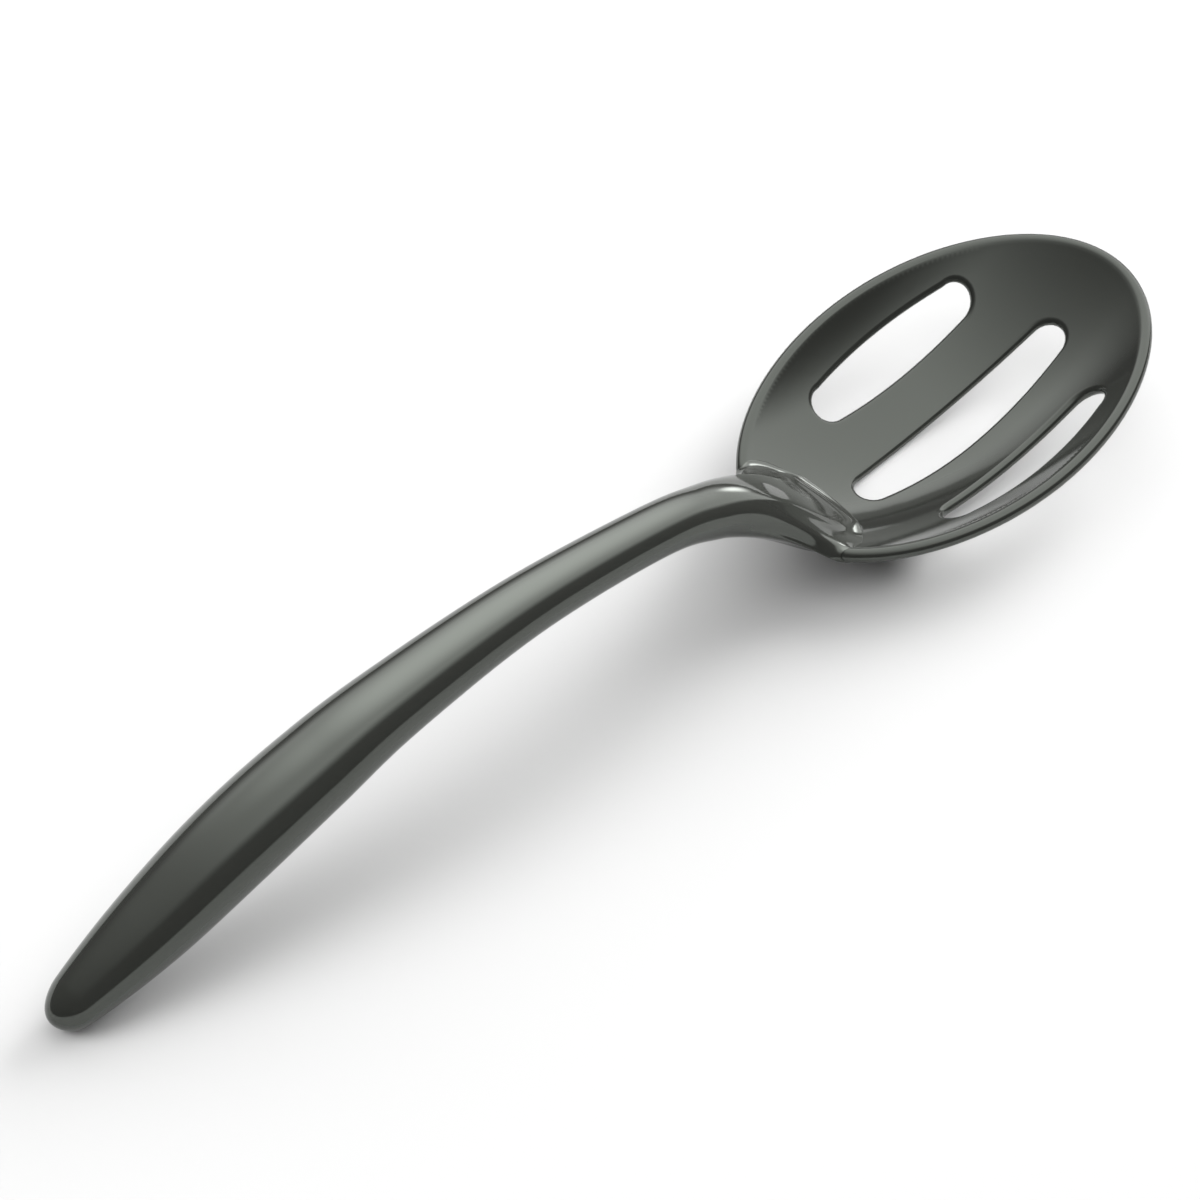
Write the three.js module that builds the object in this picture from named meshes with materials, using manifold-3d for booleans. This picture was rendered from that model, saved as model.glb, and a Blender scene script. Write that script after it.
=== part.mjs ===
// Slotted serving spoon: a pressed bowl held between the two half-shells of a hollow handle.
// Millimetres, +Z up. +X runs from the handle tip to the bowl tip, Y is across, and the spoon
// rests on z = 0 on its sole and its handle tip. The origin is under the middle of its length.
import * as THREE from "three";
import { mergeVertices } from "three/addons/utils/BufferGeometryUtils.js";
import Module from "manifold-3d";

// Bowl: an oval pressing with a parabolic hollow, measured to the inner edge of its rim
const bowlLength = 103.2;
const bowlWidth = 68.8;
const bowlDepth = 16.6;
const ovalTrim = 0.007; // how far the oval is drawn in on its diagonals, as a share
const rimPitch = THREE.MathUtils.degToRad(8); // the rim climbs towards the tip
const floorThickness = 2.6;
const rimThickness = 3.3; // the edge is upset to this thickness and rounded
const rimUpsetStart = 0.78; // share of the way from centre to rim where the sheet starts to thicken
const soleFlat = 0.8; // depth ground off the lowest point, so that the bowl stands

// Drain slots: one barrel-shaped punch, struck square to the sheet
const slotMiddleWidth = 11.1;
const slotEndWidth = 8.4;
const middleSlotLength = 62.4;
const middleSlotForward = 5; // centre of the slot, from the bowl's centre towards the tip
const sideSlotLength = 46.6;
const sideSlotForward = 4.2;
const sideSlotOffset = 21.3; // centre line of a side slot at its ends, measured in plan
const sideSlotBow = 1; // the side slots bow outwards by this much

// Handle: an arched oval tube, given by its centre line and width at places from the tip
const handleLength = 180; // tip to neck, along X
const neckToBowl = 71.6; // neck to the bowl's centre, along X
const tipRadius = 6.1;
const tipHeight = 6.14;
const shoulderAt = 26;
const shoulderWidth = 18.2;
const shoulderHeight = 13.9;
const swellAt = 48; // widest place of the grip
const swellWidth = 20.4;
const swellHeight = 22.7;
const waistToNeck = 88;
const waistWidth = 17.6;
const waistHeight = 34.9;
const crownToNeck = 53; // top of the arch
const crownWidth = 14.3;
const crownHeight = 38.25;
const saddleToNeck = 17; // narrowest place
const saddleWidth = 12.9;
const saddleHeight = 35.2;
const neckWidth = 13.7;
const neckHeight = 30.1;
const neckFall = 0.38; // slope of the centre line at the neck
const neckFlare = 0.06; // slope of each side there
const sectionRatio = 0.9; // height of the oval section for its width
const shellWall = 1.2;
const seamWidth = 1.6; // opening between the half-shells, filled by the weld

// Heel: the fishtails that lap over and under the bowl
const heelTrim = 46; // the oval is cut off straight inside the neck, this far from its centre
const upperLapReach = 33.4; // front of the upper fishtail, from the bowl's centre
const upperLapSag = 10.8; // how far its edge falls back to the rim
const upperLapHalfWidth = 17.6;
const lowerLapReach = 35.8;
const lowerLapSag = 7;
const lowerLapHalfWidth = 13.5;
const lapHeight = 1.3; // how far a fishtail stands off the bowl
const neckPull = 0.5; // how long the fishtail keeps the neck's direction
const heelPull = 0.35; // how long it keeps the bowl's direction
const underPull = 0.75; // the same for the middle of the lower fishtail, which hugs the bowl
const weldLeg = 0.7;
const joinGap = 0.3; // clearance between joined pieces

// Facets
const aroundBowl = 72;
const acrossShell = 14;
const alongTip = 6;
const alongGrip = 22;
const alongFishtail = 10;
const alongHeelWeld = 24;
const heelWeldEnd = THREE.MathUtils.degToRad(20); // where on the section the heel welds stop
const slopeStep = 0.05;

const wasm = await Module();
wasm.setup();
const { smoothstep, lerp } = THREE.MathUtils;
const vec = (x, y, z) => new THREE.Vector3(x, y, z);

// Places that follow from the sizes
const a = bowlLength / 2;
const b = bowlWidth / 2;
const pitch = Math.tan(rimPitch);
const tipWallSlope = pitch + (2 * bowlDepth) / a;
const rimOverhang = (rimThickness / 2) * (1 + Math.sin(Math.atan(tipWallSlope)));
const overallLength = handleLength + neckToBowl + a + rimOverhang;
const tipX = -overallLength / 2;
const neckX = tipX + handleLength;
const bowlX = neckX + neckToBowl;
const lowestInside = bowlDepth + (pitch * a) ** 2 / (4 * bowlDepth);
const rimHeight = lowestInside + floorThickness - soleFlat;

// Bowl surfaces: u runs from the bowl's centre towards the tip, v across
function bowlShare(u, v) {
  const x = u / a;
  const y = v / b;
  const reach = Math.hypot(x, y);
  const diagonal = reach > 0 ? (2 * x * y) / reach ** 2 : 0;
  return reach / (1 - ovalTrim * diagonal ** 2);
}

function insideHeight(u, v) {
  return rimHeight + pitch * u - bowlDepth * (1 - bowlShare(u, v) ** 2);
}

function insideSlope(u, v) {
  const alongX = insideHeight(u + slopeStep, v) - insideHeight(u - slopeStep, v);
  const alongY = insideHeight(u, v + slopeStep) - insideHeight(u, v - slopeStep);
  return new THREE.Vector2(alongX, alongY).divideScalar(2 * slopeStep);
}

function insideNormal(u, v) {
  const slope = insideSlope(u, v);
  return vec(-slope.x, -slope.y, 1).normalize();
}

function sheetThickness(u, v) {
  const upset = smoothstep(bowlShare(u, v), rimUpsetStart, 1);
  return lerp(floorThickness, rimThickness, upset);
}

// A point on the inside of the bowl, moved square to the sheet
function bowlPoint(u, v, lift) {
  return vec(bowlX + u, v, insideHeight(u, v)).addScaledVector(insideNormal(u, v), lift);
}

function ovalPoint(share, angle) {
  const reach = share * (1 - ovalTrim * Math.sin(2 * angle) ** 2);
  return new THREE.Vector2(a * reach * Math.cos(angle), b * reach * Math.sin(angle));
}

// Closed skin over rings of points, each ring run the same way round
function skin(rings, capStart, capEnd) {
  const count = rings[0].length;
  const positions = rings.flat().flatMap((p) => [p.x, p.y, p.z]);
  const index = [];
  for (let i = 0; i + 1 < rings.length; i += 1) {
    for (let j = 0; j < count; j += 1) {
      const next = (j + 1) % count;
      const here = i * count;
      const there = here + count;
      index.push(here + j, there + next, here + next, here + j, there + j, there + next);
    }
  }
  const last = (rings.length - 1) * count;
  for (const [p, q, r] of capStart(count)) index.push(p, q, r);
  for (const [p, q, r] of capEnd(count)) index.push(last + r, last + q, last + p);
  return weldedGeometry(positions, index);
}

const noCap = () => [];
const fanCap = (count) => Array.from({ length: count - 2 }, (_, j) => [0, j + 1, j + 2]);

// Cap of a thin ring that runs out along one face and back along the other
function sheetCap(count) {
  const half = count / 2;
  const faces = [];
  for (let j = 0; j + 1 < half; j += 1) {
    const back = count - 1 - j;
    faces.push([j, j + 1, back - 1], [j, back - 1, back]);
  }
  return faces;
}

function weldedGeometry(positions, index) {
  const raw = new THREE.BufferGeometry();
  raw.setAttribute("position", new THREE.Float32BufferAttribute(positions, 3));
  raw.setIndex(index);
  const welded = mergeVertices(raw, 1e-4);
  const corners = Array.from(welded.index.array);
  const kept = [];
  for (let i = 0; i < corners.length; i += 3) {
    const [p, q, r] = corners.slice(i, i + 3);
    if (p !== q && q !== r && r !== p) kept.push(p, q, r);
  }
  welded.setIndex(kept);
  return welded;
}

function toSolid(geometry) {
  return new wasm.Manifold(
    new wasm.Mesh({
      numProp: 3,
      vertProperties: new Float32Array(geometry.attributes.position.array),
      triVerts: new Uint32Array(geometry.index.array),
    }),
  );
}

function toGeometry(solid) {
  const mesh = solid.getMesh();
  const geometry = new THREE.BufferGeometry();
  geometry.setAttribute("position", new THREE.BufferAttribute(mesh.vertProperties, 3));
  geometry.setIndex(new THREE.BufferAttribute(mesh.triVerts, 1));
  return geometry;
}

// Bowl pressing, grown all round by a clearance where it is used as a cutter
function bowlPressing(clearance) {
  const insideShares = [0.12, 0.26, 0.4, 0.52, 0.64, 0.74, 0.83, 0.9, 0.95, 1];
  const capTurns = [0.2, 0.4, 0.6, 0.8];
  const angles = Array.from({ length: aroundBowl }, (_, j) => (2 * Math.PI * j) / aroundBowl);
  const insideRing = (share) =>
    angles.map((angle) => {
      const p = ovalPoint(share, angle);
      return bowlPoint(p.x, p.y, clearance);
    });
  const outsideRing = (share) =>
    angles.map((angle) => {
      const p = ovalPoint(share, angle);
      return bowlPoint(p.x, p.y, -sheetThickness(p.x, p.y) - clearance);
    });
  const rimRing = (turn) =>
    angles.map((angle) => {
      const p = ovalPoint(1, angle);
      const up = insideNormal(p.x, p.y);
      const near = ovalPoint(1, angle - slopeStep);
      const far = ovalPoint(1, angle + slopeStep);
      const along = bowlPoint(far.x, far.y, 0).sub(bowlPoint(near.x, near.y, 0)).normalize();
      const out = along.cross(up);
      const radius = rimThickness / 2 + clearance;
      return bowlPoint(p.x, p.y, -rimThickness / 2)
        .addScaledVector(up, radius * Math.cos(Math.PI * turn))
        .addScaledVector(out, radius * Math.sin(Math.PI * turn));
    });
  const rings = [
    ...insideShares.map(insideRing),
    ...capTurns.map(rimRing),
    ...insideShares.toReversed().map(outsideRing),
  ];
  const behind = new THREE.BoxGeometry(bowlLength, 2 * bowlWidth, 4 * rimHeight);
  const trimX = bowlX - heelTrim - clearance - bowlLength / 2;
  return toSolid(skin(rings, fanCap, fanCap)).subtract(toSolid(weldedFromBox(behind, trimX, 0)));
}

// Cutter for one slot: a barrel outline carried square through the sheet
function slotPunch(length, forward, offset, bow) {
  const endRadius = slotEndWidth / 2;
  const straight = length / 2 - endRadius;
  const steps = 9;
  const turns = 6;
  const outline = [];
  const foot = (p) => (offset === 0 ? 1 : 1 / Math.hypot(1, insideSlope(forward, offset).y)) * p;
  for (const side of [-1, 1]) {
    for (let i = 0; i < steps; i += 1) {
      const s = -side * lerp(-1, 1, i / (steps - 1));
      const half = lerp(slotMiddleWidth, slotEndWidth, s * s) / 2;
      const centre = offset + Math.sign(offset) * bow * (1 - s * s);
      outline.push([forward + straight * s, centre + side * foot(half)]);
    }
    for (let i = 1; i < turns; i += 1) {
      const turn = (Math.PI * i) / turns;
      const end = forward - side * (straight + endRadius * Math.sin(turn));
      outline.push([end, offset + side * foot(endRadius * Math.cos(turn))]);
    }
  }
  const reach = floorThickness + rimThickness;
  const ring = (lift) => outline.map(([u, v]) => bowlPoint(u, v, lift));
  return toSolid(skin([ring(reach), ring(-reach - bowlDepth)], fanCap, fanCap));
}

function makeBowl() {
  const ground = toSolid(
    weldedFromBox(new THREE.BoxGeometry(bowlLength, bowlWidth, 10 * soleFlat), bowlX, -5 * soleFlat),
  );
  return bowlPressing(0)
    .subtract(ground)
    .subtract(slotPunch(middleSlotLength, middleSlotForward, 0, 0))
    .subtract(slotPunch(sideSlotLength, sideSlotForward, sideSlotOffset, sideSlotBow))
    .subtract(slotPunch(sideSlotLength, sideSlotForward, -sideSlotOffset, sideSlotBow));
}

function weldedFromBox(box, x, z) {
  box.translate(x, 0, z);
  box.deleteAttribute("normal");
  box.deleteAttribute("uv");
  return mergeVertices(box);
}

// Handle rows: centre line, half width and rise of the half-section at places along the grip
const gripStations = [
  [tipX + tipRadius, tipHeight, tipRadius],
  [tipX + shoulderAt, shoulderHeight, shoulderWidth / 2],
  [tipX + swellAt, swellHeight, swellWidth / 2],
  [neckX - waistToNeck, waistHeight, waistWidth / 2],
  [neckX - crownToNeck, crownHeight, crownWidth / 2],
  [neckX - saddleToNeck, saddleHeight, saddleWidth / 2],
  [neckX, neckHeight, neckWidth / 2],
  [
    neckX + saddleToNeck,
    saddleHeight - 2 * saddleToNeck * neckFall,
    saddleWidth / 2 + 2 * saddleToNeck * neckFlare,
  ],
];
const centreLine = new THREE.SplineCurve(gripStations.map(([x, z]) => new THREE.Vector2(x, z)));
const widthLine = new THREE.SplineCurve(gripStations.map(([x, , w]) => new THREE.Vector2(x, w)));
const neckShare = (gripStations.length - 2) / (gripStations.length - 1);

// Section of the tube, drawn in to a pole at the tip as round goes from 1 to 0
function gripRow(share, round) {
  const centre = centreLine.getPoint(share);
  const way = centreLine.getTangent(share);
  const widening = widthLine.getTangent(share);
  const back = tipRadius * Math.sqrt(1 - round ** 2);
  const halfWidth = widthLine.getPoint(share).y - (back * widening.y) / widening.x;
  return {
    x: centre.x - back,
    z: centre.y - (back * way.y) / way.x,
    halfWidth: round * halfWidth,
    rise: round * ((sectionRatio * halfWidth) / way.x - seamWidth / 2),
  };
}

function gripPoint(row, angle, side) {
  const lift = side * (seamWidth / 2 + row.rise * Math.sin(angle));
  return vec(row.x, row.halfWidth * Math.cos(angle), row.z + lift);
}

// Edge of a fishtail in the bowl's plan, side 1 above the bowl and side -1 below it
function heelEdge(angle, side) {
  const reach = side > 0 ? upperLapReach : lowerLapReach;
  const sag = side > 0 ? upperLapSag : lowerLapSag;
  const halfWidth = side > 0 ? upperLapHalfWidth : lowerLapHalfWidth;
  return new THREE.Vector2(-reach - sag * (1 - Math.sin(angle)), halfWidth * Math.cos(angle));
}

function overBowl(edge, side, lift) {
  const level = side > 0 ? lift : -sheetThickness(edge.x, edge.y) - lift;
  return bowlPoint(edge.x, edge.y, level);
}

// Curve from the neck to the bowl at one angle of the section
function fishtailCurve(angle, side) {
  const start = gripPoint(gripRow(neckShare, 1), angle, side);
  const before = gripPoint(gripRow(neckShare - 0.01, 1), angle, side);
  const startWay = start.clone().sub(before).normalize();
  const edge = heelEdge(angle, side);
  const end = overBowl(edge, side, lapHeight);
  const plan = new THREE.Vector2(end.x - start.x, end.y - start.y);
  const distance = plan.length();
  plan.normalize();
  const endWay = vec(plan.x, plan.y, insideSlope(edge.x, edge.y).dot(plan)).normalize();
  const endPull = lerp(heelPull, side > 0 ? heelPull : underPull, Math.sin(angle) ** 2);
  return new THREE.CubicBezierCurve3(
    start,
    start.clone().addScaledVector(startWay, neckPull * distance),
    end.clone().addScaledVector(endWay, -endPull * distance),
    end,
  );
}

// Outer face of one half-shell, as rows of points from the tip to the heel
function shellRows(side) {
  const angles = Array.from({ length: acrossShell + 1 }, (_, j) => (Math.PI * j) / acrossShell);
  const rows = [];
  for (let i = 0; i < alongTip; i += 1) {
    const row = gripRow(0, Math.sin(((Math.PI / 2) * i) / alongTip));
    rows.push(angles.map((angle) => gripPoint(row, angle, side)));
  }
  for (let i = 0; i <= alongGrip; i += 1) {
    const row = gripRow((neckShare * i) / alongGrip, 1);
    rows.push(angles.map((angle) => gripPoint(row, angle, side)));
  }
  const curves = angles.map((angle) => fishtailCurve(angle, side));
  for (let i = 1; i <= alongFishtail; i += 1) {
    rows.push(curves.map((curve) => curve.getPoint(i / alongFishtail)));
  }
  return rows;
}

// Inner face: every point moved in by the wall, square to the outer face
function insetRows(rows, side) {
  const lastRow = rows.length - 1;
  const tubeEnd = alongTip + alongGrip;
  return rows.map((row, i) =>
    row.map((point, j) => {
      if (i === 0) return point.clone().add(vec(shellWall, 0, 0));
      const along = rows[Math.min(i + 1, lastRow)][j].clone().sub(rows[i - 1][j]);
      const across = row[Math.min(j + 1, acrossShell)].clone().sub(row[Math.max(j - 1, 0)]);
      if (i <= tubeEnd && j === 0) across.set(0, 0, side);
      if (i <= tubeEnd && j === acrossShell) across.set(0, 0, -side);
      const inward = across.cross(along).multiplyScalar(-side).normalize();
      return point.clone().addScaledVector(inward, shellWall);
    }),
  );
}

const upperOuter = shellRows(1);
const upperInner = insetRows(upperOuter, 1);
const lowerOuter = shellRows(-1);
const lowerInner = insetRows(lowerOuter, -1);
const bowlCutter = bowlPressing(joinGap);

function makeShell(outer, inner, side) {
  const rings = outer.map((row, i) => {
    const ring = [...row, ...inner[i].toReversed()];
    return side > 0 ? ring.reverse() : ring;
  });
  return toSolid(skin(rings, noCap, sheetCap)).subtract(bowlCutter);
}

// Weld along the seam: a strip between the edges of the shells, heel to tip and back to the heel
function makeSeamWeld() {
  const nearEdge = [0, 1, 2, 3];
  const strip = (i, isFar) => {
    const at = (rows, k) => rows[i][isFar ? acrossShell - k : k];
    const top = Math.min(...nearEdge.map((k) => at(upperInner, k).z)) - joinGap;
    const bottom = Math.max(...nearEdge.map((k) => at(lowerInner, k).z)) + joinGap;
    return [
      at(upperOuter, 0).clone().setZ(top),
      at(upperInner, 0).clone().setZ(top),
      at(lowerInner, 0).clone().setZ(bottom),
      at(lowerOuter, 0).clone().setZ(bottom),
    ];
  };
  const rows = Array.from({ length: alongTip + alongGrip + alongFishtail }, (_, i) => i);
  const oneSide = rows.toReversed().map((i) => strip(i, false));
  const otherSide = rows.slice(1).map((i) => strip(i, true));
  return toSolid(skin([...oneSide, ...otherSide], fanCap, fanCap)).subtract(bowlCutter);
}

// Weld in the corner between a fishtail's edge and the bowl
function makeHeelWeld(side) {
  const rings = [];
  for (let i = 0; i <= alongHeelWeld; i += 1) {
    const angle = lerp(heelWeldEnd, Math.PI - heelWeldEnd, i / alongHeelWeld);
    const edge = heelEdge(angle, side);
    const way = heelEdge(angle + slopeStep, side).sub(heelEdge(angle - slopeStep, side)).normalize();
    const front = new THREE.Vector2(-way.y, way.x);
    const near = edge.clone().addScaledVector(front, joinGap);
    const far = edge.clone().addScaledVector(front, joinGap + weldLeg);
    const ring = [
      overBowl(near, side, joinGap),
      overBowl(far, side, joinGap),
      overBowl(near, side, joinGap + weldLeg),
    ];
    rings.push(side > 0 ? ring.reverse() : ring);
  }
  return toSolid(skin(rings, fanCap, fanCap));
}

const coat = new THREE.MeshStandardMaterial({ color: 0x5c5e5a, roughness: 0.28, metalness: 0 });
const weldCoat = coat.clone();

const spoon = new THREE.Group();
spoon.name = "slotted_serving_spoon";
function addPiece(name, solid, material) {
  const mesh = new THREE.Mesh(toGeometry(solid), material);
  mesh.name = name;
  spoon.add(mesh);
}
addPiece("bowl", makeBowl(), coat);
addPiece("handle_upper_shell", makeShell(upperOuter, upperInner, 1), coat);
addPiece("handle_lower_shell", makeShell(lowerOuter, lowerInner, -1), coat);
addPiece("seam_weld", makeSeamWeld(), weldCoat);
addPiece("heel_weld_upper", makeHeelWeld(1), weldCoat);
addPiece("heel_weld_lower", makeHeelWeld(-1), weldCoat);

export default spoon;
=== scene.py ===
import math

import bmesh
import bpy
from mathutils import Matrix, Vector, geometry


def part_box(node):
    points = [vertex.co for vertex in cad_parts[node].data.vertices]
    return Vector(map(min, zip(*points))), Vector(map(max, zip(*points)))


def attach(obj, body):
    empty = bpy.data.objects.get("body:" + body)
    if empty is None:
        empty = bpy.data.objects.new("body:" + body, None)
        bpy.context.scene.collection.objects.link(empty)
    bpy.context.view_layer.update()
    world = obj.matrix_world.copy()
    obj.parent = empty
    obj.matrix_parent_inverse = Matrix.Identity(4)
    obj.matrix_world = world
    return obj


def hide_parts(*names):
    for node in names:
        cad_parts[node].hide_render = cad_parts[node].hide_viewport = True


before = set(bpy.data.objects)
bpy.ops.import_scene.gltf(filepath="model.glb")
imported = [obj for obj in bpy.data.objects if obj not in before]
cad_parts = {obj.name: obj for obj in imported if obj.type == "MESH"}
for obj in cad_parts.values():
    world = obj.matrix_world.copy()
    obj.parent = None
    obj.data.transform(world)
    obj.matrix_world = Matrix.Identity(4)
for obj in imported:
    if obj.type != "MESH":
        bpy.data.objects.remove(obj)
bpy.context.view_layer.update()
scene = bpy.context.scene
mm = 0.001  # pieces are drawn in millimetres and scaled when they become objects
mergeGap = 1e-4  # millimetres between points that become one
blankGap = 1e-5


def hexColor(text):
    channels = [int(text[i:i + 2], 16) / 255 for i in (1, 3, 5)]
    linear = [c / 12.92 if c <= 0.04045 else ((c + 0.055) / 1.055) ** 2.4 for c in channels]
    return (*linear, 1)


def mix(low, high, share):
    return low + (high - low) * share


def ease(low, high, value):
    t = min(max((value - low) / (high - low), 0), 1)
    return t * t * (3 - 2 * t)


def node(tree, kind, settings=None, links=None):
    made = tree.nodes.new(kind)
    for key, value in (settings or {}).items():
        if isinstance(key, int) or key in made.inputs:
            made.inputs[key].default_value = value
        else:
            setattr(made, key, value)
    for key, source in (links or {}).items():
        tree.links.new(source, made.inputs[key])
    return made


def toObject(bm, name, material):
    bmesh.ops.recalc_face_normals(bm, faces=bm.faces)
    bmesh.ops.scale(bm, vec=(mm, mm, mm), verts=bm.verts)
    mesh = bpy.data.meshes.new(name)
    bm.to_mesh(mesh)
    bm.free()
    for face in mesh.polygons:
        face.use_smooth = True
    mesh.materials.append(material)
    made = bpy.data.objects.new(name, mesh)
    scene.collection.objects.link(made)
    return made


# Gloss enamel baked on steel: a dark warm grey with a clear, slightly rippled skin
enamel = {
    "color": "#2f302d",
    "paler": "#363734",
    "sheen": "#f7fff5",
    "roughness": 0.09,
    "specular": 0.82,
    "cloudMm": 40,
    "rippleMm": 9,
    "rippleDepthMm": 0.5,
    "rippleStrength": 0.02,
}


def enamelMaterial(name):
    made = bpy.data.materials.new(name)
    made.use_nodes = True
    tree = made.node_tree
    tree.nodes.clear()
    place = node(tree, "ShaderNodeTexCoord").outputs["Object"]
    cloud = node(tree, "ShaderNodeTexNoise", {"Scale": 1 / (enamel["cloudMm"] * mm), "Detail": 2},
                 {"Vector": place})
    tint = node(tree, "ShaderNodeMix", {
        "data_type": "RGBA",
        6: hexColor(enamel["color"]),
        7: hexColor(enamel["paler"]),
    }, {0: cloud.outputs["Fac"]})
    ripple = node(tree, "ShaderNodeTexNoise", {"Scale": 1 / (enamel["rippleMm"] * mm), "Detail": 1},
                  {"Vector": place})
    bump = node(tree, "ShaderNodeBump", {
        "Strength": enamel["rippleStrength"],
        "Distance": enamel["rippleDepthMm"] * mm,
    }, {"Height": ripple.outputs["Fac"]})
    skin = node(tree, "ShaderNodeBsdfPrincipled", {
        "Roughness": enamel["roughness"],
        "Specular IOR Level": enamel["specular"],
        "Specular Tint": hexColor(enamel["sheen"]),
    }, {"Base Color": tint.outputs[2], "Normal": bump.outputs["Normal"]})
    node(tree, "ShaderNodeOutputMaterial", None, {"Surface": skin.outputs["BSDF"]})
    return made


greyEnamel = enamelMaterial("greyEnamel")
print("enamel")

# Bowl, drawn as a flat blank and pressed: u runs to the tip, v across, from the oval's centre
bowlForm = {
    "halfLength": 51.6,
    "halfWidth": 34.4,
    "depth": 16.6,
    "pitch": math.tan(math.radians(8)),  # the rim climbs towards the tip
    "ovalTrim": 0.007,
    "floor": 2.6,
    "rim": 3.3,
    "upsetStart": 0.78,  # share of the way out where the sheet starts to thicken
    "soleFlat": 0.8,
    "heelTrim": 45.9,
    "heelHalf": 15.3,
    "heelNotch": 9,
    "heelClear": 0.8,
    "slots": [
        {"length": 61.6, "forward": 5.4, "offset": 0.0, "bow": 0.0, "rear": 7.6},
        {"length": 46.6, "forward": 4.2, "offset": 21.3, "bow": 1.0, "rear": 8.4},
        {"length": 46.6, "forward": 4.2, "offset": -21.3, "bow": 1.0, "rear": 8.4},
    ],
    "slotMiddle": 11.1,
    "slotEnd": 8.4,
    "slotSideSteps": 44,
    "slotEndSteps": 14,
    "slotRound": 1.25,
    "roundTurns": (90, 67.5, 45, 22.5, 0),
    "slotHold": 0.2,  # one more loop beyond the rounding keeps its shading straight
    "slotRows": (0.6, 1.2, 1.9),
    "slotClear": 0.7,
    "rimSteps": 240,
    "rimRows": (0.988, 0.973, 0.956),
    "beadCuts": 9,
    "fillSpacing": 1.3,
    "fillPitch": 0.866,  # row distance of an even triangle pattern
    "fillReach": 60,
    "fillShare": 0.94,
}
halfLength, halfWidth = bowlForm["halfLength"], bowlForm["halfWidth"]
tipSlope = bowlForm["pitch"] + 2 * bowlForm["depth"] / halfLength
rimOverhang = bowlForm["rim"] / 2 * (1 + math.sin(math.atan(tipSlope)))
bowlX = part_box("bowl")[1].x / mm - halfLength - rimOverhang
lowestInside = bowlForm["depth"] + (bowlForm["pitch"] * halfLength) ** 2 / (4 * bowlForm["depth"])
rimHeight = lowestInside + bowlForm["floor"] - bowlForm["soleFlat"]
slopeStep = 0.05
rimNudge = 0.01  # radians along the rim
sliver = 0.001


def ovalShare(u, v):
    x, y = u / halfLength, v / halfWidth
    reach = math.hypot(x, y)
    if reach == 0:
        return 0
    return reach / (1 - bowlForm["ovalTrim"] * (2 * x * y / reach ** 2) ** 2)


def insideHeight(u, v):
    return rimHeight + bowlForm["pitch"] * u - bowlForm["depth"] * (1 - ovalShare(u, v) ** 2)


def insideSlope(u, v):
    alongU = insideHeight(u + slopeStep, v) - insideHeight(u - slopeStep, v)
    alongV = insideHeight(u, v + slopeStep) - insideHeight(u, v - slopeStep)
    return alongU / (2 * slopeStep), alongV / (2 * slopeStep)


def sheetThickness(u, v):
    return mix(bowlForm["floor"], bowlForm["rim"], ease(bowlForm["upsetStart"], 1, ovalShare(u, v)))


def sheetPoint(u, v, lift):
    slopeU, slopeV = insideSlope(u, v)
    normal = Vector((-slopeU, -slopeV, 1)).normalized()
    return Vector((bowlX + u, v, insideHeight(u, v))) + normal * lift


def rimPoint(angle):
    reach = 1 - bowlForm["ovalTrim"] * math.sin(2 * angle) ** 2
    return Vector((halfLength * reach * math.cos(angle), halfWidth * reach * math.sin(angle)))


# Rim point carried round the edge of the sheet: turn 0 is inside the bowl, 1 is outside
def beadPoint(u, v, out, turn, extra):
    slopeU, slopeV = insideSlope(u, v)
    normal = Vector((-slopeU, -slopeV, 1)).normalized()
    along = Vector((-out.y, out.x, -slopeU * out.y + slopeV * out.x))
    outward = along.cross(normal).normalized()
    radius = bowlForm["rim"] / 2
    centre = sheetPoint(u, v, -radius)
    swing = normal * math.cos(math.pi * turn) + outward * math.sin(math.pi * turn)
    return centre + swing * (radius + extra)


# Barrel outline with round ends, narrowed in plan where the wall is steep
def slotOutline(slot):
    ends = {1: bowlForm["slotEnd"] / 2, -1: slot["rear"] / 2}
    slopeV = insideSlope(slot["forward"], slot["offset"])[1]
    flatten = 1 / math.hypot(1, slopeV)
    sign = math.copysign(1, slot["offset"])
    sideSteps, endSteps = bowlForm["slotSideSteps"], bowlForm["slotEndSteps"]
    outline = []
    for side in (-1, 1):
        for i in range(sideSteps + 1):
            s = -side * mix(-1, 1, i / sideSteps)
            end = ends[1 if s > 0 else -1]
            half = mix(bowlForm["slotMiddle"] / 2, end, s * s)
            along = slot["forward"] + (slot["length"] / 2 - end) * s
            centre = slot["offset"] + sign * slot["bow"] * (1 - s * s)
            outline.append(Vector((along, centre + side * half * flatten)))
        for i in range(1, endSteps):
            turn = math.pi * i / endSteps
            end = ends[-side]
            along = slot["forward"] - side * (slot["length"] / 2 - end + end * math.sin(turn))
            outline.append(Vector((along, slot["offset"] + side * end * math.cos(turn) * flatten)))
    return outline, flatten


def grown(outline, distance, flatten):
    made = []
    for i, point in enumerate(outline):
        way = outline[(i + 1) % len(outline)] - outline[i - 1]
        out = Vector((way.y / flatten, -way.x)).normalized()
        made.append(point + Vector((out.x, out.y * flatten)) * distance)
    return made


def insideLoop(point, loop):
    inside = False
    for i, here in enumerate(loop):
        last = loop[i - 1]
        if (here.y > point.y) != (last.y > point.y):
            cross = here.x + (point.y - here.y) / (last.y - here.y) * (last.x - here.x)
            inside = inside != (point.x < cross)
    return inside


# The heel is cut back inside the handle, leaving the rim to run into the neck at both sides
def heelCut(v):
    return bowlForm["heelNotch"] * max(0, 1 - (v / bowlForm["heelHalf"]) ** 2) - bowlForm["heelTrim"]


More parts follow.
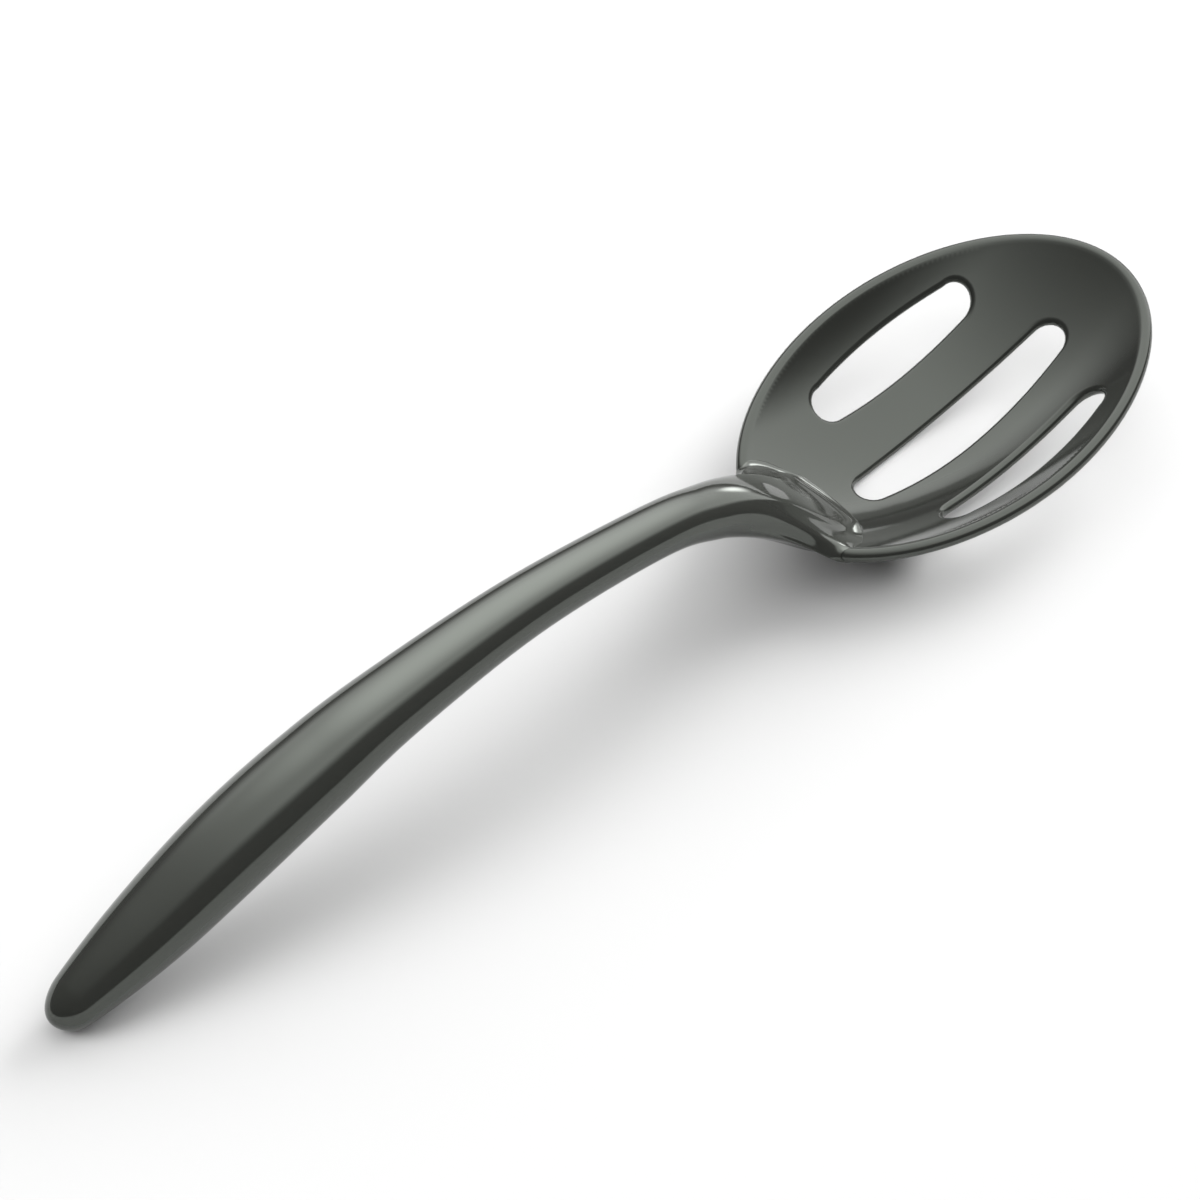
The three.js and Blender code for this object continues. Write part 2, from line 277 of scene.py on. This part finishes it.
# Lines of the blank, which are the rim and the slots with their rounded edges, and an even fill between
def drawBlank():
    points, edges, sinks = [], [], []

    def addLoop(loop, sink):
        start = len(points)
        points.extend(loop)
        sinks.extend([sink] * len(loop))
        edges.extend((start + i, start + (i + 1) % len(loop)) for i in range(len(loop)))

    rimLoop, slotLoops, keepOff, fill = [], [], [], []
    steps = bowlForm["rimSteps"]
    for i in range(steps):
        point = rimPoint(2 * math.pi * i / steps)
        rimLoop.append(Vector((max(point.x, heelCut(point.y) if point.x < 0 else 0), point.y)))
    addLoop(rimLoop, 0)
    bend = bowlForm["slotRound"]
    for slot in bowlForm["slots"]:
        outline, flatten = slotOutline(slot)
        slotLoops.append(outline)
        for degrees in bowlForm["roundTurns"]:
            turn = math.radians(degrees)
            addLoop(grown(outline, bend * (1 - math.sin(turn)), flatten), bend * (1 - math.cos(turn)))
        addLoop(grown(outline, bend + bowlForm["slotHold"], flatten), 0)
        for k, step in enumerate(bowlForm["slotRows"]):
            ring = grown(outline, bend + step, flatten)
            shift = 0.5 * ((k + 1) % 2)  # every other row sits between the points of the last
            fill += [ring[i].lerp(ring[i - 1], shift) for i in range(len(ring))]
        keepOff.append(grown(outline, bend + bowlForm["slotRows"][-1] + bowlForm["slotClear"], flatten))
    for k, share in enumerate(bowlForm["rimRows"]):
        shift = 0.5 * ((k + 1) % 2)
        fill += [share * rimPoint(2 * math.pi * (i + shift) / steps) for i in range(steps)]
    spacing, pitch, reach = bowlForm["fillSpacing"], bowlForm["fillPitch"], bowlForm["fillReach"]
    rows = int(2 * halfWidth / (spacing * pitch))
    for j in range(-rows // 2, rows // 2 + 1):
        shift = 0.5 * (j % 2)
        row = [Vector(((i + shift) * spacing, j * spacing * pitch)) for i in range(-reach, reach + 1)]
        row = [spot for spot in row if ovalShare(spot.x, spot.y) < bowlForm["fillShare"]]
        fill += [spot for spot in row if not any(insideLoop(spot, loop) for loop in keepOff)]
    fill = [spot for spot in fill if spot.x > heelCut(spot.y) + bowlForm["heelClear"]]
    return rimLoop, slotLoops, points + fill, edges, sinks + [0] * len(fill)


# The blank as a plate of height 1, with its rim's edge cut in rows for the bead
def cutBlank(rimLoop, slotLoops, points, edges, sinks):
    spots, _, tris, origins, _, _ = geometry.delaunay_2d_cdt(points, edges, [], 0, blankGap)
    bm = bmesh.new()
    sinkLayer = bm.verts.layers.float.new("sink")
    rimLayer = bm.verts.layers.int.new("rim")
    for spot, origin in zip(spots, origins):
        vert = bm.verts.new((spot.x, spot.y, 0))
        vert[sinkLayer] = sinks[origin[0]] if origin else 0
        vert[rimLayer] = 1 if origin and origin[0] < len(rimLoop) else 0
    bm.verts.ensure_lookup_table()
    for tri in tris:
        middle = sum((spots[i] for i in tri), Vector((0, 0))) / 3
        if insideLoop(middle, rimLoop) and not any(insideLoop(middle, loop) for loop in slotLoops):
            bm.faces.new([bm.verts[i] for i in tri])
    loose = [v for v in bm.verts if not v.link_faces]
    bmesh.ops.delete(bm, geom=loose, context="VERTS")
    top = bmesh.ops.extrude_face_region(bm, geom=bm.faces[:], use_keep_orig=True)["geom"]
    bmesh.ops.translate(bm, vec=(0, 0, 1), verts=[g for g in top if isinstance(g, bmesh.types.BMVert)])
    walls = [e for e in bm.edges if abs(e.verts[0].co.z - e.verts[1].co.z) > 0.5]
    rimWalls = [e for e in walls if all(v[rimLayer] for v in e.verts)]
    bmesh.ops.subdivide_edges(bm, edges=rimWalls, cuts=bowlForm["beadCuts"], use_grid_fill=True)
    return bm


def makeBowl():
    rimLoop, slotLoops, points, edges, sinks = drawBlank()
    bm = cutBlank(rimLoop, slotLoops, points, edges, sinks)
    sinkLayer = bm.verts.layers.float["sink"]
    outWays = {}  # ways out from the rim, none along the hidden cut at the heel
    for i, point in enumerate(rimLoop):
        way = rimLoop[(i + 1) % len(rimLoop)] - rimLoop[i - 1]
        onRim = 1 if ovalShare(*point) > 1 - sliver else 0
        outWays[(round(point.x, 3), round(point.y, 3))] = onRim * Vector((way.y, -way.x)).normalized()
    for vert in bm.verts:  # the press
        u, v, share = vert.co
        if sliver < share < 1 - sliver:
            out = outWays[(round(u, 3), round(v, 3))]
            vert.co = beadPoint(u, v, out, 1 - share, 0)
        elif share > 0.5:
            vert.co = sheetPoint(u, v, -vert[sinkLayer])
        else:
            vert.co = sheetPoint(u, v, vert[sinkLayer] - sheetThickness(u, v))
        vert.co.z = max(vert.co.z, 0)
    return toObject(bm, "bowlPressing", greyEnamel)


bowlPiece = makeBowl()
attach(bowlPiece, "root")
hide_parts("bowl")
print("bowl", len(bowlPiece.data.polygons))

# Handle: stations along the grip, each the distance along, height of the centre and half width
handleForm = {
    "stations": [
        (6.1, 6.14, 6.1), (26, 14.0, 9.11), (48, 22.83, 10.24), (70, 29.8, 9.9), (92, 35.0, 8.63),
        (127, 38.39, 7.1), (163, 35.41, 6.32), (180, 30.1, 6.85), (197, 22.28, 8.49),
    ],
    "tipRadius": 6.1,
    "tipFall": 0.4,
    "tall": 0.9,  # height of the section for its width
    "around": 96,
    "stepsPerStation": 12,
    "tipSteps": 12,
    "fishtailSteps": 30,
    "lastShare": 0.992,
    "neckPull": (0.6, 0.58),  # at the sides and top, and under the middle
    "heelPull": (0.22, 0.5),
    "underPower": 4,
    "flank": 1.8,
    "flankFront": 1.8,
    "flankPower": 6,
    "rimTurn": 0.85,
    "rimTurnFade": (0.6, 1),
    "heelU": 44.2,
    "heelHalf": 17.3,
    "upperNose": 10.8,
    "lowerNose": 8.4,
    "beadStart": 149.6,
    "beadEnd": 153,
    "beadWindow": 14,
    "beadOver": 0.05,
    "lap": 1.15,
    "lapFade": (9, 13.5),
    "lipLift": (-0.15, 0.04),
    "lipTurns": (25, 50, 70, 90),
    "edgeRound": 0.45,
}
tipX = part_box("handle_upper_shell")[0].x / mm


def bezier(first, second, third, fourth, t):
    near, far = first.lerp(second, t), third.lerp(fourth, t)
    middle = second.lerp(third, t)
    return near.lerp(middle, t).lerp(middle.lerp(far, t), t)


def gripRows():
    stations = [Vector((tipX + s[0], s[1], s[2])) for s in handleForm["stations"]]
    steps = handleForm["stepsPerStation"]
    rows = []
    for i in range(len(stations) - 2):
        before = stations[i - 1] if i else 3 * stations[0] - 3 * stations[1] + stations[2]
        here, there, after = stations[i:i + 3]
        pull, push = (there - before) / 6, (after - here) / 6
        rows += [bezier(here, here + pull, there - push, there, k / steps) for k in range(steps)]
    rows.append(stations[-2])
    return rows


def tubeRing(x, height, half, rise):
    ring = []
    for i in range(handleForm["around"]):
        angle = 2 * math.pi * i / handleForm["around"]
        ring.append(Vector((x, half * math.cos(angle), height + rise * math.sin(angle))))
    return ring


def handleRings():
    rows = gripRows()
    rings = []
    first, second = rows[0], rows[1]
    fall = (second.y - first.y) / (second.x - first.x)
    widen = (second.z - first.z) / (second.x - first.x)
    for i in range(handleForm["tipSteps"]):  # round end
        shrink = math.sin(math.pi / 2 * i / handleForm["tipSteps"])
        back = handleForm["tipRadius"] * math.sqrt(1 - shrink ** 2)
        half = first.z - back * widen
        rise = handleForm["tall"] * half * math.hypot(1, fall)
        drop = back * fall * (1 - (1 - handleForm["tipFall"]) * back / handleForm["tipRadius"])
        rings.append(tubeRing(first.x - back, first.y - drop, shrink * half, shrink * rise))
    for i, row in enumerate(rows):
        low, high = rows[max(i - 1, 0)], rows[min(i + 1, len(rows) - 1)]
        slope = (high.y - low.y) / (high.x - low.x)
        rise = handleForm["tall"] * row.z * math.hypot(1, slope)
        rings.append(tubeRing(row.x, row.y, row.z, rise))
    return rings


# Edge of the fishtail on the blank, half an oval above the bowl and half below: turn 0 is at the rim
def heelSpot(turn, side, upper, out):
    nose = handleForm["upperNose" if upper else "lowerNose"]
    half = handleForm["heelHalf"]
    edge = Vector((nose * math.sin(turn) - handleForm["heelU"], side * half * math.cos(turn)))
    return edge + Vector((half * math.sin(turn), side * nose * math.cos(turn))).normalized() * out


def lapShare(v):
    return 1 - ease(*handleForm["lapFade"], abs(v))


def overSheet(spot, upper, lift):
    return sheetPoint(spot.x, spot.y, lift if upper else -sheetThickness(spot.x, spot.y) - lift)


def beadAt(angle, turn, extra):
    spot = rimPoint(angle)
    way = rimPoint(angle + rimNudge) - rimPoint(angle - rimNudge)
    return beadPoint(spot.x, spot.y, Vector((way.y, -way.x)).normalized(), turn, extra)


# End of one line of the fishtail and the way it runs there; at the sides it lies just over the rim's bead
def heelEnd(index, out, lift):
    degrees = 360 * index / handleForm["around"]
    side = 1 if degrees < 90 or degrees > 270 else -1
    upper = degrees <= 180
    fromSide = min(degrees % 180, 180 - degrees % 180)
    window = handleForm["beadWindow"]
    if fromSide < window:
        share = 1 - fromSide / window
        bow = math.sin(math.pi / 2 * share)
        angle = side * math.radians(mix(handleForm["beadStart"], handleForm["beadEnd"], bow))
        turn = 0.5 * share if upper else 1 - 0.5 * share
        over = handleForm["beadOver"] - out
        end = beadAt(angle, turn, over)
        return end, (beadAt(angle - side * rimNudge, turn, over) - end).normalized(), 1
    turn = math.radians(90 * (fromSide - window) / (90 - window))
    fade = lapShare(handleForm["heelHalf"] * math.cos(turn))
    spot = heelSpot(turn, side, upper, out * fade)
    slopeU, slopeV = insideSlope(spot.x, spot.y)
    angle = math.atan2(spot.y / halfWidth, spot.x / halfLength)
    along = (rimPoint(angle - side * rimNudge) - rimPoint(angle + side * rimNudge)).normalized()
    rimWay = Vector((along.x, along.y, slopeU * along.x + slopeV * along.y)).normalized()
    end = overSheet(spot, upper, lift * fade + mix(*handleForm["lipLift"], lift / handleForm["lap"]))
    return end, rimWay, math.cos(turn)


def fishtailRings(neckRing, beforeRing):
    curves = []
    for i in range(handleForm["around"]):
        start = neckRing[i]
        startWay = (neckRing[i] - beforeRing[i]).normalized()
        end, rimWay, across = heelEnd(i, 0, handleForm["lap"])
        plan = Vector((end.x - start.x, end.y - start.y))
        distance = plan.length
        slopeU, slopeV = insideSlope(end.x - bowlX, end.y)
        planWay = Vector((plan.x, plan.y, slopeU * plan.x + slopeV * plan.y)).normalized()
        turned = handleForm["rimTurn"] * ease(*handleForm["rimTurnFade"], across)
        endWay = planWay.lerp(rimWay, turned).normalized()
        angle = 2 * math.pi * i / handleForm["around"]
        below = max(0, -math.sin(angle))
        under = below ** handleForm["underPower"]
        swell = handleForm["flank"] * (1 - (2 * below ** 2 - 1) ** handleForm["flankPower"])
        fuller = Vector((0, math.cos(angle), math.sin(angle))) * swell
        neckSide = startWay * mix(*handleForm["neckPull"], under) * distance
        heelSide = endWay * mix(*handleForm["heelPull"], under) * distance
        front = handleForm["flankFront"] * fuller
        curves.append((start, start + neckSide + fuller, end - heelSide + front, end))
    steps = handleForm["fishtailSteps"]
    shares = [k / steps for k in range(1, steps)] + [handleForm["lastShare"], 1]
    return [[bezier(*curve, share) for curve in curves] for share in shares]


# The fishtail's edge rolls down to the bowl and is closed inside it
def lipRings():
    rings = []
    bend, lap = handleForm["edgeRound"], handleForm["lap"]
    count = handleForm["around"]
    for degrees in handleForm["lipTurns"]:
        turn = math.radians(degrees)
        lift = lap - bend * (1 - math.cos(turn))
        rings.append([heelEnd(i, bend * math.sin(turn), lift)[0] for i in range(count)])
    rings.append([heelEnd(i, bend, 0)[0] for i in range(count)])
    rings.append([rings[-1][i].lerp(rings[-1][-i], 0.5) for i in range(count)])
    return rings


def loft(bm, rings):
    loop = bmesh.ops.create_circle(bm, segments=len(rings[0]), radius=1)["verts"]
    for vert, point in zip(loop, rings[0]):
        vert.co = point
    edges = bm.edges[:]
    for ring in rings[1:]:
        geom = bmesh.ops.extrude_edge_only(bm, edges=edges)["geom"]
        fresh = {g for g in geom if isinstance(g, bmesh.types.BMVert)}
        edges = [g for g in geom if isinstance(g, bmesh.types.BMEdge)]
        loop = [next(e.other_vert(v) for e in v.link_edges if e.other_vert(v) in fresh) for v in loop]
        for vert, point in zip(loop, ring):
            vert.co = point
    bmesh.ops.remove_doubles(bm, verts=bm.verts, dist=mergeGap)


def makeHandle():
    bm = bmesh.new()
    rings = handleRings()
    rings += fishtailRings(rings[-1], rings[-2])
    rings += lipRings()
    loft(bm, rings)
    return toObject(bm, "handleShells", greyEnamel)


handlePiece = makeHandle()
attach(handlePiece, "root")
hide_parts("handle_upper_shell", "handle_lower_shell", "seam_weld")
print("handle", len(handlePiece.data.polygons))

# Heel welds: thin fillets in the corner between a fishtail's edge and the bowl, drawn as out and lift
weldForm = {
    "from": 36,
    "steps": 60,
    "section": ((-0.05, -0.2), (-0.05, 0.75), (0.15, 0.4), (0.4, 0.18), (0.85, 0.02), (0.85, -0.2)),
}


def makeHeelWeld(name, upper):
    bm = bmesh.new()
    rings = []
    for i in range(weldForm["steps"] + 1):
        turn = math.radians(mix(weldForm["from"], 180 - weldForm["from"], i / weldForm["steps"]))
        fade = lapShare(handleForm["heelHalf"] * math.cos(turn))
        ring = []
        for out, lift in weldForm["section"]:
            spot = heelSpot(turn, 1, upper, (handleForm["edgeRound"] + out) * fade)
            ring.append(overSheet(spot, upper, lift * fade))
        rings.append(ring)
    loft(bm, rings)
    ends = [e for e in bm.edges if len(e.link_faces) == 1]
    bmesh.ops.holes_fill(bm, edges=ends, sides=len(weldForm["section"]))
    return toObject(bm, name, greyEnamel)


for weldName, cadName, isUpper in (("heelWeldUpper", "heel_weld_upper", True),
                                   ("heelWeldLower", "heel_weld_lower", False)):
    weldPiece = makeHeelWeld(weldName, isUpper)
    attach(weldPiece, "root")
    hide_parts(cadName)
    print(weldName, len(weldPiece.data.polygons))

# Floor: pale matt paper, lit up to white by lamps of its own, that keeps the shadow
paper = {"color": "#b0b0b0", "reach": 3.0}


def makeFloor():
    made = bpy.data.materials.new("palePaper")
    made.use_nodes = True
    tree = made.node_tree
    tree.nodes.clear()
    matt = node(tree, "ShaderNodeBsdfDiffuse", {"Color": hexColor(paper["color"])})
    node(tree, "ShaderNodeOutputMaterial", None, {"Surface": matt.outputs["BSDF"]})
    bm = bmesh.new()
    bmesh.ops.create_grid(bm, x_segments=1, y_segments=1, size=paper["reach"] / mm)
    floor = toObject(bm, "floor", made)
    return floor


floorPiece = makeFloor()
print("floor")

# Studio: a dim room under a wide soft tent, open to the front, with lamps for the handle and the floor
studio = {
    "room": 0.12,
    "tent": 2.43,
    "tentFront": (-50, -28),  # fades in degrees of lean, from dark to light
    "tentBack": (84, 56),
    "tentLeft": (-50, 12),
    "lampFade": (0.5, 0.05),  # lamps fade out from their middle to their edge
    "softbox": {"way": (0.45, 0.33, 1.0), "distance": 1.2, "size": 2.3, "glow": 2.3},
    "window": {"way": (0.919, 0.335, 0.208), "distance": 1.2, "size": 0.4, "glow": 7},
    "keyLeft": {"way": (-0.694, 0.324, 0.643), "distance": 1.5, "size": 1.6, "glow": 10.5},
    "keyRight": {"way": (0.924, 0.081, 0.375), "distance": 1.5, "size": 1.6, "glow": 22},
}


def makeTent():
    world = bpy.data.worlds.new("studio")
    scene.world = world
    world.use_nodes = True
    tree = world.node_tree
    tree.nodes.clear()
    way = node(tree, "ShaderNodeTexCoord").outputs["Generated"]
    parts = node(tree, "ShaderNodeSeparateXYZ", None, {0: way})
    level = node(tree, "ShaderNodeMath", {"operation": "GREATER_THAN", 1: 0}, {0: parts.outputs["Z"]})
    for axis, edge in (("Y", "tentFront"), ("Y", "tentBack"), ("X", "tentLeft")):
        lean = node(tree, "ShaderNodeMath", {"operation": "ARCTAN2"},
                    {0: parts.outputs[axis], 1: parts.outputs["Z"]})
        low, high = (math.radians(limit) for limit in studio[edge])
        fade = node(tree, "ShaderNodeMapRange", {
            "interpolation_type": "SMOOTHSTEP",
            "From Min": low,
            "From Max": high,
        }, {"Value": lean.outputs[0]})
        level = node(tree, "ShaderNodeMath", {"operation": "MULTIPLY"},
                     {0: level.outputs[0], 1: fade.outputs[0]})
    light = node(tree, "ShaderNodeMath", {
        "operation": "MULTIPLY_ADD",
        1: studio["tent"],
        2: studio["room"],
    }, {0: level.outputs[0]})
    glow = node(tree, "ShaderNodeBackground", None, {"Strength": light.outputs[0]})
    node(tree, "ShaderNodeOutputWorld", None, {"Surface": glow.outputs["Background"]})


def makeLamp(name, lit, shading=None):
    form = studio[name]
    lamp = bpy.data.lights.new(name, "AREA")
    lamp.size = form["size"]
    lamp.energy = form["glow"] * math.pi * form["size"] ** 2
    lamp.use_nodes = True
    tree = lamp.node_tree
    tree.nodes.clear()
    spot = node(tree, "ShaderNodeNewGeometry").outputs["Parametric"]
    reach = node(tree, "ShaderNodeVectorMath", {"operation": "DISTANCE", 1: (0.5, 0.5, 0)}, {0: spot})
    edge, middle = studio["lampFade"]
    fade = node(tree, "ShaderNodeMapRange", {
        "interpolation_type": "SMOOTHSTEP",
        "From Min": edge,
        "From Max": middle,
    }, {"Value": reach.outputs["Value"]})
    glow = node(tree, "ShaderNodeEmission", None, {"Strength": fade.outputs[0]})
    node(tree, "ShaderNodeOutputLight", None, {"Surface": glow.outputs[0]})
    made = bpy.data.objects.new(name, lamp)
    way = Vector(form["way"]).normalized()
    made.location = way * form["distance"]
    made.rotation_euler = (-way).to_track_quat("-Z", "Y").to_euler()
    made.visible_camera = False
    scene.collection.objects.link(made)
    receivers = bpy.data.collections.new(name + "Lights")
    receivers.objects.link(lit)
    made.light_linking.receiver_collection = receivers
    if shading:
        blockers = bpy.data.collections.new(name + "Blockers")
        blockers.objects.link(shading)
        made.light_linking.blocker_collection = blockers


makeTent()
makeLamp("softbox", handlePiece)
makeLamp("window", handlePiece)
makeLamp("keyLeft", floorPiece, handlePiece)  # only the handle throws its shade here
makeLamp("keyRight", floorPiece)
print("studio")

# Camera at the photograph's place
cameraForm = {
    "azimuth": -40.79,
    "elevation": 48.92,
    "distance": 1.0,
    "aim": (0.00956, 0.01604, 0),
    "lens": 135,
    "sensor": 36,
    "reach": 20,
}


def makeCamera():
    lensData = bpy.data.cameras.new("camera")
    lensData.lens = cameraForm["lens"]
    lensData.sensor_width = cameraForm["sensor"]
    lensData.sensor_fit = "HORIZONTAL"
    lensData.clip_end = cameraForm["reach"]
    made = bpy.data.objects.new("camera", lensData)
    turn, rise = math.radians(cameraForm["azimuth"]), math.radians(cameraForm["elevation"])
    way = Vector((math.sin(turn) * math.cos(rise), -math.cos(turn) * math.cos(rise), math.sin(rise)))
    made.location = Vector(cameraForm["aim"]) + way * cameraForm["distance"]
    made.rotation_euler = (-way).to_track_quat("-Z", "Y").to_euler()
    scene.collection.objects.link(made)
    scene.camera = made


makeCamera()
scene.view_settings.view_transform = "Standard"
